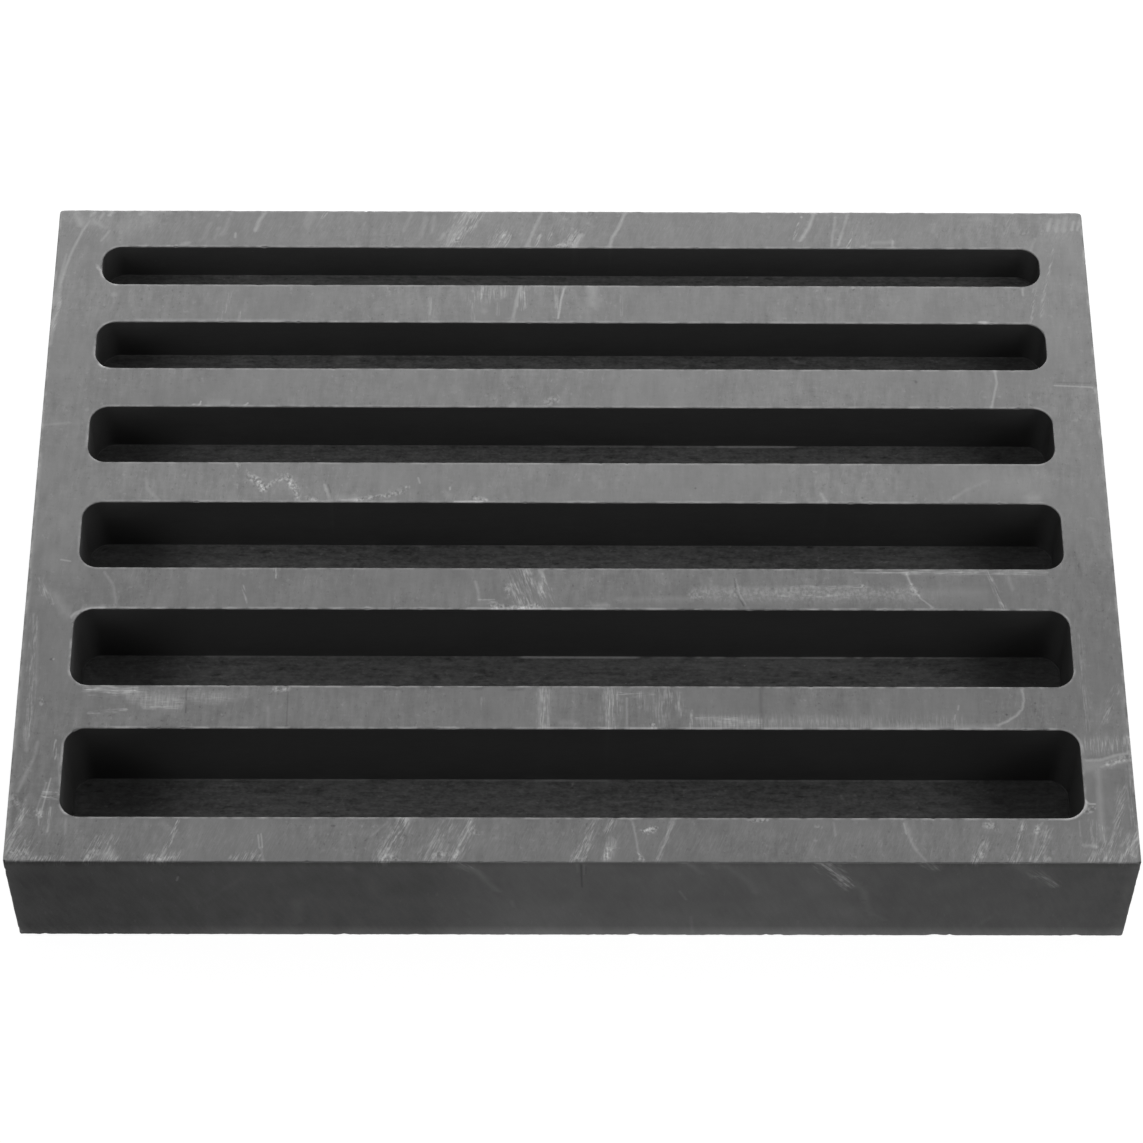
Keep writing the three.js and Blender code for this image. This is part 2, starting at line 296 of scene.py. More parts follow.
        (0.25, 0.8, 29.7, 35.2, 30, 36.4), (0.3, 0.35, 46.6, 37, 47.3, 39.3),
        (0.3, 0.45, 50.6, 30.2, 51.6, 35), (0.3, 0.4, 49.7, 26, 50.4, 30),
        (0.3, 0.5, 48.7, 25.3, 49.3, 29.7), (1.2, 0.55, -53.6, -39.2, -53, -38.4),
        (0.45, 0.7, -52.3, -39.6, -49.2, -39.7), (0.8, 0.55, -46.9, -39.7, -45.8, -37.6),
        (0.9, 0.45, -45.3, -39.6, -44.4, -37.6), (0.45, 0.6, -45.6, -39.6, -44, -39.6),
        (0.8, 0.5, -40.8, -39.8, -38.4, -39.5), (0.5, 0.8, -41, -39.5, -38.3, -39.6),
        (0.35, 0.9, -39.4, -38.8, -38.6, -36.5, -38.4, -35.5), (0.5, 0.7, -32.8, -39.5, -30.3, -39.5),
        (0.6, 0.5, -32.4, -39.4, -31, -39.2), (1.1, 0.6, -18.4, -39.6, -17.2, -37.6),
        (1.1, 0.6, -17.6, -38, -16.4, -35.5), (1.3, 0.42, -14, -39.4, -12.2, -36.2),
        (0.8, 0.6, -11.5, -39.8, -10.6, -37.6, -9.9, -35.5), (0.8, 0.55, 0.3, -39.8, 1.4, -37.2, 2, -35.9),
        (0.6, 0.6, 0.8, -39.6, 1.6, -37.8), (0.5, 0.7, 3.3, -36.6, 3.9, -35.5),
        (0.4, 0.35, 9.6, -35.6, 9, -37.6, 8.2, -39.7), (0.8, 0.6, 39, -39.7, 40, -37.9),
        (0.5, 0.6, 42.8, -39.8, 43.3, -37.5, 43.8, -35.7), (0.5, 0.65, 42.3, -39.5, 43.2, -39.4),
        (0.7, 0.55, 45, -39.8, 46.2, -36.4), (0.45, 0.65, 44.2, -39.5, 46, -39.5),
        (0.9, 0.45, 50.6, -39.2, 52, -38), (0.5, 0.65, 50, -39.5, 52.4, -39.5),
        (0.5, 0.6, 52.1, -38.5, 53.2, -35.5), (0.6, 0.5, -53.2, -34, -54.6, -38.4),
        (0.6, 0.35, 52.6, -24, 54.2, -20), (0.6, 0.5, 53, -36, 53.8, -31.5),
        (0.9, 0.65, 53.3, -39.6, 54.6, -37),
    ),
    "falling": (
        (0.25, 0.35, -33.2, -8.2, -32.8, -10.3), (0.8, 0.7, -5.8, -8, -4.8, -10.3),
        (0.7, 0.7, -5, -6.3, -4, -8.4), (0.35, 0.8, -2.9, -7, -2.7, -8), (0.5, 0.8, -3.4, -7.9, -2.9, -9.3),
        (0.35, 0.8, -3.3, -9, -2.8, -10.4), (0.3, 0.8, -2.3, -8.4, -1.9, -10.2),
        (1.9, 0.25, -5, -6.8, -3.8, -10.2), (0.35, 0.6, 42.2, -6.5, 42.6, -8, 43, -9.5, 43.5, -10.6),
        (0.35, 0.5, -53.9, -7.5, -53.3, -9), (0.35, 0.5, -53.3, -8.6, -52.3, -10.5),
    ),
    "upright": (
        (0.2, 0.5, 31.6, 35.3, 31.6, 36.3), (0.25, 0.5, -37.1, 25.3, -36.9, 26.3),
        (0.25, 0.45, -36.6, 26.3, -36.2, 28.8), (0.25, 0.4, -35, 25.4, -35, 26.3),
        (0.3, 0.45, -14.9, 26, -15, 28.3), (1.3, 0.3, -10.2, 28.2, -7.4, 29.2),
        (0.3, 0.5, -10.4, 25.5, -10.4, 29.5), (0.25, 0.8, -9.6, 28.2, -9.4, 29.8),
        (0.3, 0.3, -7.8, 26, -7.8, 29), (0.3, 0.6, -7.3, 28.3, -7.3, 29.7), (0.6, 0.8, -5.2, 27, -5, 29.9),
        (0.3, 0.7, -1.6, 27, -1.6, 29.8), (0.3, 0.3, 5.3, 26, 5.3, 29.5),
        (0.3, 0.7, -29.9, -6.2, -29.9, -7.2), (0.3, 0.4, -8.9, -21.4, -8.9, -22.8),
        (0.8, 0.45, -2.8, -20.6, -2.8, -24.6), (0.9, 0.5, 3.8, -20.6, 3.8, -24.8),
        (0.5, 0.6, 4.5, -20.6, 4.5, -23), (0.5, 0.5, 6.8, -21, 6.9, -22.2), (1, 0.35, 8.8, -21, 8.8, -24),
        (0.5, 0.5, 9.6, -20.5, 9.8, -21.6), (0.6, 0.5, 10.2, -21, 10.8, -23),
        (0.35, 0.6, 11.7, -22.8, 11.7, -24.9), (1.1, 0.28, 12.4, -24.2, 19, -24.2),
        (1.1, 0.22, 19.4, -24.1, 38, -24.2), (0.25, 0.6, -53.5, -34.3, -53.5, -36),
        (0.25, 0.6, -51.9, -34.3, -51.9, -36), (0.3, 0.7, -50.9, -34, -50.9, -36.6),
        (0.65, 0.6, 3.3, -39.4, 3.8, -37.8), (0.5, 0.5, 50.6, -35.5, 50.6, -38),
        (0.3, 0.5, 51.5, -36, 51.5, -39.6), (0.6, 0.4, -54, -12, -53.4, -26),
        (0.3, 0.8, -50.9, -26.4, -50.8, -28.4), (0.5, 0.3, 50.8, -14, 50.9, -25),
        (1.2, 0.5, 50.6, -26.8, 54.9, -26.6), (0.4, 0.4, 54.5, -29, 54.5, -36),
    ),
    "level": (
        (0.3, 0.8, -9.4, -10, -7.8, -10), (0.25, 0.45, 21, -9.3, 29, -9.3), (0.25, 0.4, 21, -8.2, 30, -8.2),
        (0.3, 0.6, 31, -6.5, 48, -6.5), (0.5, 0.7, -48.2, -20.6, -43.4, -20.6),
        (0.3, 0.5, -42.4, -22.6, -39, -22.6), (0.25, 0.4, -47.8, -21.2, -44, -21),
        (0.3, 0.9, -47.8, -23.3, -46, -23.1, -44.1, -22.9), (0.4, 0.4, 4.5, -21, 8, -21),
        (0.25, 0.6, 12.2, -23.7, 16.3, -23.75), (0.6, 1.05, -51.3, -32.6, -50.2, -32.6),
    ),
    "dots": (
        (0.7, 0.7, -12.3, 36), (0.5, 0.8, -1.4, 35.4, -0.1, 35.4), (0.7, 0.6, -2.5, 14.7, -1.7, 15),
        (0.6, 0.9, -33.2, 5.2, -32.3, 4.7), (0.55, 1.2, -32.3, 4.7, -31.7, 3.6),
        (0.4, 0.8, -31.6, 3.6, -30.7, 4.4, -29.7, 5), (0.5, 1.2, -29.1, 5.2, -29, 4.4, -28.4, 3.7),
        (0.45, 0.9, -28.4, 3.7, -28.1, 2.6), (0.35, 0.7, -27.2, 2.6, -26.2, 2.3), (0.5, 0.6, -34.3, 6.5),
        (0.35, 0.8, -22, 2.3, -20.3, 2.7, -18.8, 2.9), (0.4, 0.9, -18.8, 2.9, -17.6, 3.3, -16.9, 3.9),
        (0.35, 0.9, -9.9, 2.6, -8.8, 2.4), (0.4, 0.6, 39, 2.5), (0.5, 0.7, -6.6, -8.3, -6.3, -9.2),
        (0.4, 1, -8, -10.6, -5.6, -10.8, -3.4, -10.5), (1.1, 0.28, 12.4, -9, 34.5, -8.9),
        (0.45, 0.5, 12.2, -9.3, 13.2, -9.6), (0.3, 0.9, 29.4, -8.1), (0.35, 0.7, 34.3, -8, 34.8, -9.2),
        (0.35, 0.9, -29.5, -20.5, -28.3, -20.5), (0.4, 0.9, 8, -24.4, 8, -24.8),
        (0.75, 0.7, -54.1, -39.1, -53, -39.2), (0.5, 0.6, -46.8, -39.5, -46.3, -39.1),
        (0.4, 1, -39.8, -39.8), (0.5, 0.75, -18.4, -39.5, -17, -39.5),
        (0.45, 0.8, -13.2, -39.3, -12.2, -39), (0.35, 0.6, -11.5, -39.6, -11.1, -38.8),
        (0.4, 0.6, -9.9, -36.4, -9.3, -36.8), (0.4, 0.55, 0.3, -39.6, 1.2, -39.5),
        (0.55, 0.8, 3.2, -39.4, 3.6, -38.5), (0.3, 0.8, 6.4, -39, 6.7, -39.7),
        (0.45, 1.1, 7, -36.6, 8, -36.3), (0.3, 0.9, 17.3, -35.4, 18.8, -35.3), (0.5, 0.6, 23.9, -36.1),
        (0.4, 0.6, 38.9, -39.5, 39.7, -39), (0.6, 0.85, 40.3, -35.8, 40.8, -35.9), (0.4, 0.6, 43.6, -36.2),
        (0.4, 0.7, 45, -36.6, 45.2, -36), (0.5, 0.7, 54.2, -39.2), (0.35, 0.7, -52.5, -21.4, -52.5, -22.2),
        (0.45, 0.9, -52.1, -34.6, -51.6, -34.9), (0.5, 0.7, -54.5, -33, -54.1, -33.8),
        (0.4, 0.7, 52.4, -29, 54.8, -28), (0.4, 1.0, 50.1, -34.3, 50.8, -33.9),
    ),
    "mottle": (
        (1.2, 0.4, -43.4, -21.1, -42.2, -21.8, -39.2, -21.9), (0.9, 0.3, -37.6, -21.4, -34.5, -21.5),
        (0.7, 0.4, 14.6, -24.2, 16.3, -24.2), (0.6, 0.4, 17.4, -24.2, 18.3, -24.2),
    ),
    "shade": (
        (4, 0.13, 12, -37.5, 19, -37.5), (16, 0.07, 12, -16, 44, -16),
    ),
    "dark": (
        (0.25, 1.1, -12.3, 36), (0.25, 0.7, 44.4, 25.3), (0.12, 0.5, -1.3, 26.5, -1.2, 29.5),
        (0.3, 0.9, 36.05, 17.4), (0.15, 0.9, -34.3, 6.6), (0.12, 0.5, -25, 4.2, -24.7, 3.2),
        (0.2, 1.1, 12.7, 3.85), (0.2, 0.8, 22.8, 3.5), (0.2, 0.6, 28.1, 4.5), (0.22, 1.1, 29.8, 2.7),
        (0.2, 0.8, 35, 2.9), (0.13, 0.7, 16.4, -7.2, 16.6, -9, 17.3, -10.5),
        (0.12, 0.4, 42.8, -8, 43.1, -9.8), (0.13, 0.6, -38.3, -20.4, -38.2, -23.2),
        (0.12, 0.5, -28.2, -20.6, -28.2, -24.8), (0.2, 0.5, -18.6, -20.4, -17.2, -20.4),
        (0.2, 0.4, -15, -20.4, -13.6, -20.4), (0.2, 0.5, -9.8, -20.4, -9, -20.4),
        (0.2, 0.4, -6.4, -20.5, -4.8, -20.4), (0.3, 0.4, 18.7, -20.4, 18.7, -24.8), (0.22, 1.1, 43, -23.25),
        (0.15, 0.8, 42, -22.9), (0.2, 0.9, 45.9, -21.9), (0.25, 0.9, -30.8, -39.85),
        (0.18, 0.8, -23.4, -36, -23.1, -36), (0.2, 0.9, -52, -17), (0.15, 0.4, 50.5, 17.4, 54.3, 17.3),
    ),
}

# Marks on the floors of the bar moulds
FLOOR_MARKS = {
    "soft": (
        (1.6, 0.25, -3, -11.4, 30, -11.4), (0.6, 0.5, -25.2, 24.6, -24.8, 24.3),
        (0.15, 0.9, -24.6, 24.9, -22.6, 24.9), (0.25, 0.7, -9.7, 24.5),
        (0.25, 0.5, 23.4, 24.7, 24.2, 24.3, 25, 24.1), (0.3, 0.3, -35, 24.8, -34.2, 24.5),
        (0.3, 0.4, 8.7, 13.3), (0.3, 0.4, -23.6, 13.7, -23, 13.4), (0.3, 0.6, -33.2, 1.6),
        (0.3, 0.5, -15.5, 1.8), (0.25, 0.4, -12.5, 1.8), (0.2, 0.4, -39.3, -12.1, -38.9, -12.7),
        (0.3, 0.35, -49.3, -12.3, -48.9, -13.6), (0.25, 0.4, 24.3, -12.5, 25.2, -12.4),
        (0.25, 0.4, 26.6, -12.5, 27.6, -12.5), (0.2, 0.5, 3, -12.3, 3.4, -12.1),
        (0.8, 0.35, -49.2, -27.6, -48.8, -28.3), (0.2, 0.4, -41.6, -25.6), (0.25, 0.5, -19, -26.3),
        (0.15, 1, -15, -25.95), (0.18, 0.9, -4.5, -25.3), (0.4, 0.3, -5, -26.4), (0.2, 1.1, 0.1, -25.5),
        (0.2, 0.5, 0.2, -26.4), (0.3, 0.4, 8.5, -27.6), (0.3, 0.4, 11.3, -26.4), (0.25, 0.5, 14.7, -26.6),
        (0.25, 0.5, 27.1, -26.8, 27.5, -27.6), (0.25, 0.6, 28.5, -26.7), (0.25, 0.5, 29.3, -27.5),
    ),
    "dark": (
        (2.5, 0.18, 12, 1, 34, 1), (1.5, 0.18, 12, 24.4, 40, 24.4), (1.5, 0.15, -34, 24.4, -14, 24.4),
        (0.3, 0.5, -0.6, -0.2, -2, -0.1), (0.3, 0.6, -14.4, -12.9, -13.4, -13.7),
        (0.25, 0.4, -11, -12.9, -6, -12.9), (0.25, 0.4, 2, -12.9, 4, -12.9), (0.25, 0.5, 21.5, -11.9),
        (0.3, 0.3, 38.1, -12.8), (0.3, 0.4, -30.6, -26.9), (0.3, 0.4, -25.5, -26.7),
        (0.15, 0.5, -15, -26.3), (0.2, 0.7, 0.1, -25.9), (0.4, 0.4, -3.8, -26.8), (0.15, 0.5, 1.9, -26.5),
        (0.25, 0.4, 8.1, -27.8), (0.2, 0.3, 10.2, -25.8, 10.3, -27), (0.3, 0.5, 22.2, -26.3),
        (0.2, 0.5, 29.4, -26.4, 28.8, -27.2, 29, -27.9),
    ),
}

# Marks on the front face, with the height above the bottom face in place of y
FRONT_MARKS = {
    # The broad marks here are painted light: the front face lighter in its middle and towards the right than
    # at its left
    "broad": (
        (16, 1, -2, 0, -2, 15, 10, 15, 10, 0, 22, 0, 22, 15), (24, 0.7, 38, 0, 38, 15),
        (26, 0.38, -20, 0, -20, 15),
    ),
    "soft": (
        (2.2, 0.12, 22, 0, 55, 0), (2.2, 0.15, -34, 0, -20, 0), (0.9, 0.35, -54.8, 1, -54.8, 14),
        (1.2, 0.45, 54.8, 1, 54.8, 14), (0.6, 0.4, 54.2, 8, 54.4, 14), (0.18, 1.4, -38.5, 11.2, -38.3, 12),
        (0.5, 0.15, -36, 7, -32, 12), (0.7, 0.3, -27, 3, -27, 7), (0.5, 0.2, -30.8, 4.5, -31, 2.5),
        (0.6, 0.35, -21.9, 13.8, -21.3, 13.5), (0.9, 0.2, -21.3, 13.2, -19.8, 11.5, -19, 8),
        (0.6, 0.7, -11, 14.2, -9.5, 13.4, -8.6, 12), (0.6, 0.5, -9, 12.6, -8.3, 11, -7.4, 9.3),
        (0.35, 0.4, -5.9, 7.2, -5.8, 6), (1.8, 0.15, -5, 4, -3, 1.5), (0.2, 0.4, 0.4, 14.6, 0.5, 13),
        (0.15, 0.5, 1.1, 14.5, 1.1, 12.5), (0.25, 0.7, 10.5, 9.3, 11.2, 7.5), (0.3, 0.4, 11.8, 4, 12, 0.8),
        (0.4, 0.6, 10.8, 14.9, 11.6, 14.2), (0.5, 0.4, 11.6, 14.2, 12.6, 12.8),
        (0.5, 0.4, 13.8, 14.7, 14, 13.8), (0.7, 0.5, 14.8, 14.3, 16, 12.8),
        (0.6, 0.5, 16, 12.8, 17.2, 11, 18, 9), (1.6, 0.2, 16, 13, 19, 9, 19.6, 5),
        (0.35, 1.3, 23.6, 15, 24.6, 14.2, 25.6, 12.9), (0.3, 0.9, 25.6, 12.9, 26.6, 11.2, 27, 10.4),
        (0.25, 0.9, 25.2, 14.2, 26.4, 12.3, 26.9, 11.2), (0.6, 0.55, 27.4, 11, 28.4, 9.4, 28.8, 7.5),
        (0.5, 0.3, 28.8, 8, 29.4, 5, 31, 3.4), (1.5, 0.2, 23, 11, 25, 8, 27, 5),
        (0.5, 0.5, 34, 14.9, 35.2, 13.9), (0.6, 0.35, 43, 14.8, 44.4, 13), (1.3, 0.25, 43, 14.8, 46, 11.5),
        (0.45, 0.6, 45.6, 12.6, 47.3, 10.4), (0.5, 0.2, 41.5, 4, 40, 2),
    ),
    "arc": (
        (0.8, 0.9, -11.5, 14.6, -10, 13.8), (1, 1.6, 24, 14.9, 25.6, 12.8, 26.8, 10.6),
        (0.7, 0.8, 33.9, 14.9, 35.2, 14), (0.8, 0.8, 44.6, 13.2, 47.2, 10.6),
    ),
    "dark": (
        (0.16, 1.2, 0.8, 14.8, 0.95, 10), (0.15, 0.6, 1.3, 14.2, 1.3, 12.8),
    ),
}


class Body:
    """Points, faces and marks of one closed mesh, gathered in millimetres."""

    def __init__(self):
        self.points = []
        self.faces = []
        self.slots = []
        self.marks = {kind: {} for kind in KINDS}

    def point(self, x, y, z):
        self.points.append((x, y, z))
        return len(self.points) - 1

    def face(self, corners, slot):
        self.faces.append(corners)
        self.slots.append(slot)

    def strip(self, row, other, slot, closed=False):
        """Joins two rows of as many points; where they share a point the face has three sides."""
        count = len(row) if closed else len(row) - 1
        for i in range(count):
            j = (i + 1) % len(row)
            corners = dict.fromkeys((row[i], row[j], other[j], other[i]))
            self.face(tuple(corners), slot)

    def fill(self, outline, holes, inner, flatten, raise_up, slot):
        """Fills a flat face between rows of points, with more points inside it. Returns the new ones."""
        known = len(self.points)
        rows = [outline, *holes]
        ids = [i for row in rows for i in row]
        places = [Vector(flatten(self.points[i])) for i in ids]
        loops = []
        start = 0
        for row in rows:
            loops.append(list(range(start, start + len(row))))
            start += len(row)
        ids += [None] * len(inner)
        places += [Vector(place) for place in inner]
        found = delaunay_2d_cdt(places, [], loops, 1, WELD)
        made_points, _, made_faces, from_points, _, from_faces = found
        kept = [corners for corners, sources in zip(made_faces, from_faces) if sources == [0]]
        here = {}
        for made in sorted({i for corners in kept for i in corners}):
            old = [ids[i] for i in from_points[made] if ids[i] is not None]
            here[made] = old[0] if old else self.point(*raise_up(*made_points[made]))
        for corners in kept:
            self.face([here[i] for i in corners], slot)
        return list(range(known, len(self.points)))

    def fill_level(self, outline, holes, inner, height, slot):
        """The same for a level face."""
        return self.fill(outline, holes, inner, from_above, lambda x, y: (x, y, height), slot)


def from_above(point):
    return point[:2]


def from_front(point):
    return point[0], point[2]


def ramp(value, start, end):
    """From nothing at the start to one at the end, and held there."""
    return min(max((value - start) / (end - start), 0), 1)


def pockets():
    """Each bar mould's side and the place of its middle, from the back to the front."""
    back = WIDTH / 2 - BACK_WALL
    for side in BAR_SIDES:
        yield side, back - side / 2
        back -= side + RIB


def from_mouth(x, y, side):
    """Signed distance from a bar mould's outline round the origin, less than nothing inside it."""
    away_x = abs(x) - (BAR_LENGTH / 2 - CUTTER_RADIUS)
    away_y = abs(y) - (side / 2 - CUTTER_RADIUS)
    outside = math.hypot(max(away_x, 0), max(away_y, 0))
    return outside + min(max(away_x, away_y), 0) - CUTTER_RADIUS


def mouth_loop(side, middle):
    """Places along a bar mould's outline, anticlockwise, each with its outward normal."""
    straight_x = BAR_LENGTH / 2 - CUTTER_RADIUS
    straight_y = side / 2 - CUTTER_RADIUS
    corners = (
        (straight_x, -straight_y, -90),
        (straight_x, straight_y, 0),
        (-straight_x, straight_y, 90),
        (-straight_x, -straight_y, 180),
    )

    def on_arc(x, y, degrees):
        turn = math.radians(degrees)
        nx, ny = math.cos(turn), math.sin(turn)
        return x + CUTTER_RADIUS * nx, y + CUTTER_RADIUS * ny, nx, ny

    steps = max(2, round(CUTTER_RADIUS * math.pi / 2 / STATION) + 1)
    places = []
    for i, (x, y, start) in enumerate(corners):
        places += [on_arc(x, y, start + 90 * step / steps) for step in range(steps + 1)]
        from_x, from_y = places[-1][:2]
        to_x, to_y, nx, ny = on_arc(*corners[(i + 1) % 4])
        count = max(1, round(math.hypot(to_x - from_x, to_y - from_y) / STATION))
        for step in range(1, count):
            share = step / count
            places.append((from_x + (to_x - from_x) * share, from_y + (to_y - from_y) * share, nx, ny))
    return [(x, y + middle, nx, ny) for x, y, nx, ny in places]


def edge_breaks(places, least, chips):
    """How far an edge has crumbled back at each of its places, which are in three dimensions."""
    ragged_waves, ragged_share = RAGGED
    widths = []
    for place in places:
        here = Vector(place)
        width = least * (1 + sum(noise.noise(here * waves) * share for waves, share in CRUMBLE))
        for centre, half, depth in chips:
            off = (here - centre).length / half
            if off < 1:
                ragged = 1 + ragged_share * noise.noise(here * ragged_waves)
                width = max(width, depth * (1 - off * off) * ragged)
        widths.append(width)
    return widths


def random_chips(places, dice, spacing, halves, depths):
    """Small chips at random places along an edge, most of them shallow."""
    run = sum((Vector(a) - Vector(b)).length for a, b in zip(places, places[1:]))
    chips = []
    for _ in range(round(run / spacing)):
        half = dice.uniform(*halves)
        depth = depths[0] + (depths[1] - depths[0]) * dice.random() ** 3
        chips.append((Vector(dice.choice(places)), half, depth))
    return chips


def near_segment(x, y, ax, ay, bx, by):
    """Distance from a place to a straight line between two others."""
    run_x, run_y = bx - ax, by - ay
    square = run_x * run_x + run_y * run_y
    share = ((x - ax) * run_x + (y - ay) * run_y) / square if square else 0
    share = min(max(share, 0), 1)
    return math.hypot(x - ax - share * run_x, y - ay - share * run_y)


def each_mark(table):
    """The marks in a table, one by one: kind, half width, strength and the straight pieces of its path."""
    for kind, marks in table.items():
        for half, strength, *numbers in marks:
            path = list(zip(numbers[::2], numbers[1::2]))
            yield kind, half, strength, list(zip(path, path[1:])) or [(path[0], path[0])]


def mark_points(table):
    """Places that a flat face needs to carry its narrow marks: along each of them and beside it."""
    places = []
    for _, half, _, pieces in each_mark(table):
        if half > PLATE_PITCH:
            continue
        for (ax, ay), (bx, by) in pieces:
            run = math.hypot(bx - ax, by - ay)
            along = ((bx - ax) / run, (by - ay) / run) if run else (1, 0)
            steps = max(1, math.ceil(run / max(half * MARK_STEP, STATION)))
            for step in range(steps + 1):
                x = ax + (bx - ax) * step / steps
                y = ay + (by - ay) * step / steps
                for side in (-1, 0, 1):
                    places.append((x - along[1] * half * side, y + along[0] * half * side))
            for sign, (x, y) in ((-1, (ax, ay)), (1, (bx, by))):
                places.append((x + along[0] * half * sign, y + along[1] * half * sign))
    return places


def set_marks(body, table, ids, flatten):
    """Writes how strong each mark is at each of these points."""
    places = [(i, *flatten(body.points[i])) for i in ids]
    for kind, half, strength, pieces in each_mark(table):
        all_x, all_y = zip(*(place for piece in pieces for place in piece))
        low_x, high_x = min(all_x) - half, max(all_x) + half
        low_y, high_y = min(all_y) - half, max(all_y) + half
        values = body.marks[kind]
        for i, x, y in places:
            if not (low_x < x < high_x and low_y < y < high_y):
                continue
            off = min(near_segment(x, y, *a, *b) for a, b in pieces) / half
            if off < 1:
                values[i] = max(values.get(i, 0), strength * (1 - off * off))


def grid_points(width, height, pitch):
    """Points of a triangular grid over a rectangle round the origin."""
    rows = math.ceil(height / 2 / pitch)
    columns = math.ceil(width / 2 / pitch)
    for row in range(-rows, rows + 1):
        shift = 0.5 * (row % 2)
        for column in range(-columns, columns + 1):
            yield (column + shift) * pitch, row * pitch


def corner_polish_and_highlight(side, x):
    """How bright the line is in which a bar mould's floor meets its back wall: polish and painted highlight.
    """
    lines = (
        most * min(1, (x - start) / CORNER_LINE_FADE, (end - x) / CORNER_LINE_FADE)
        for bar, start, end, most in CORNER_LINES
        if bar == side and start < x < end
    )
    return max(lines, default=0)


def wall_shades(side, x, nx):
    """Painted shade on a bar mould's wall: how much darker it is at its top and at its foot."""
    away = BAR_LENGTH / 2 - abs(x)
    pool = ramp(away, POOL_END, POOL_LAST) ** POOL_FALL * ramp(away, POOL_START, POOL_FULL)
    top = WALL_TOP_SHADE[side] * (1 - (1 - TOP_OVER_POOL[side]) * pool)
    foot = POOL_SHADE[side] * pool * (POOL_ON_RIGHT if x > 0 else 1)
    end = RIGHT_END_SHADE if nx > 0 else LEFT_END_SHADE
    end_top = end if nx > 0 or side == BAR_SIDES[-1] else 0  # on the left, only the widest is shaded so high
    turned = nx**4
    return top + (end_top - top) * turned, foot + end * turned


def floor_shade(side, x):
    """Painted shade on a bar mould's floor towards its ends. The shallowest one stays light at its right end.
    """
    if x > 0 and side == BAR_SIDES[0]:
        return 0
    return FLOOR_END_SHADE * ramp(BAR_LENGTH / 2 - abs(x), FLOOR_SHADE_END, FLOOR_SHADE_FULL)


def mouth_section(width, floor):
    """A bar mould's wall from its rim down to its floor: how far out each row lies, and how high."""
    depth = MOUTH_STEEPNESS * width + MOUTH_LEAST_DEPTH
    return (
        (width + RIM, HEIGHT),
        (width, HEIGHT),
        (ROUNDING * width, HEIGHT - 0.5 * depth),
        (0, HEIGHT - depth),
        (0, floor + FLOOR_FILLET + CORNER_LINE),
        (0, floor + FLOOR_FILLET),
        (-FLOOR_FILLET, floor),
        (-FLOOR_FILLET - CORNER_LINE, floor),
    )


def add_pocket(body, side, middle, dice):
    """One bar mould, from its rim on the top face down to its floor. Returns its outermost row."""
    loop = mouth_loop(side, middle)
    edge = [(x, y, HEIGHT) for x, y, _, _ in loop]
    chips = [(Vector((x, y, HEIGHT)), half, depth) for x, y, half, depth in MOUTH_CHIPS]
    chips += random_chips(edge, dice, *MOUTH_CRUMBS)
    floor = HEIGHT - side
    sections = [mouth_section(width, floor) for width in edge_breaks(edge, MOUTH_BREAK, chips)]
    rows = [
        [body.point(x + nx * out, y + ny * out, z) for (x, y, nx, ny), (out, z) in zip(loop, row)]
        for row in zip(*sections)
    ]
    for row, next_row, slot in zip(rows, rows[1:], (TOP, TOP, TOP, WALLS, WALLS, FLOORS, FLOORS)):
        body.strip(row, next_row, slot, closed=True)
    rim, break_top, break_middle, wall_top, wall_low, wall_end, floor_edge, floor_row = rows

    # Polish and painted highlight on the mouth's broken edge and the wall's top row
    polish_and_highlight = body.marks["rim"]
    for row, share in ((break_top, 1.0), (break_middle, 1.0), (wall_top, WALL_TOP_POLISH_AND_HIGHLIGHT)):
        for i, (_, _, nx, _) in zip(row, loop):
            polish_and_highlight[i] = share * MOUTH_POLISH_AND_HIGHLIGHT[side] * (1 - RIGHT_END_LOSS[side] * max(0, nx))

    inner = [
        (x, y + middle)
        for x, y in grid_points(BAR_LENGTH, side, PLATE_PITCH)
        if from_mouth(x, y, side) < -2 * PLATE_MARGIN
    ]
    inner += [(x, y) for x, y in mark_points(FLOOR_MARKS) if from_mouth(x, y - middle, side) < -PLATE_MARGIN]
    ids = floor_edge + floor_row + body.fill_level(floor_row, [], inner, floor, FLOORS)
    set_marks(body, FLOOR_MARKS, ids, from_above)

    # Painted shade: the floor towards its ends, the walls at their tops and near their ends, and the floor's
    # corners
    shade = body.marks["shade"]
    for i in ids:
        shade[i] = floor_shade(side, body.points[i][0])
    for top, foot, upper, lower, (x, _, nx, ny) in zip(wall_top, wall_low, wall_end, floor_edge, loop):
        shade[top], shade[foot] = wall_shades(side, x, nx)
        shade[upper] = shade[lower] = max(shade[lower], CORNER_SHADE * min(1, CORNER_SHADE_RISE * abs(nx)))
        if ny > FACING_BACK:
            polish_and_highlight[lower] = polish_and_highlight[upper] = corner_polish_and_highlight(side, x)
    return rim


def stations(run, pitch):
    """Places along a run between two of the block's corners, about this far apart."""
    clear = run - 2 * CORNER_BREAK
    count = round(clear / pitch)
    return [CORNER_BREAK + clear * i / count for i in range(count + 1)]


class Flank:
    """One upright face of the block, from its left corner to its right one."""

    def __init__(self, start, end, in_front):
        self.in_front = in_front
        self.start = start
        self.run = (end - start).length
        self.along = (end - start) / self.run
        self.normal = Vector((self.along.y, -self.along.x))
        self.middles = {}  # the middle row of points on its top and bottom edges
        self.ends = {}  # the row in which each of those edges meets the flat of the face

    def at(self, distance):
        return self.start + self.along * distance

    def flatten(self, point):
        return ((Vector(point[:2]) - self.start).dot(self.along), point[2])

    def raise_up(self, distance, height):
        return (*self.at(distance), height)


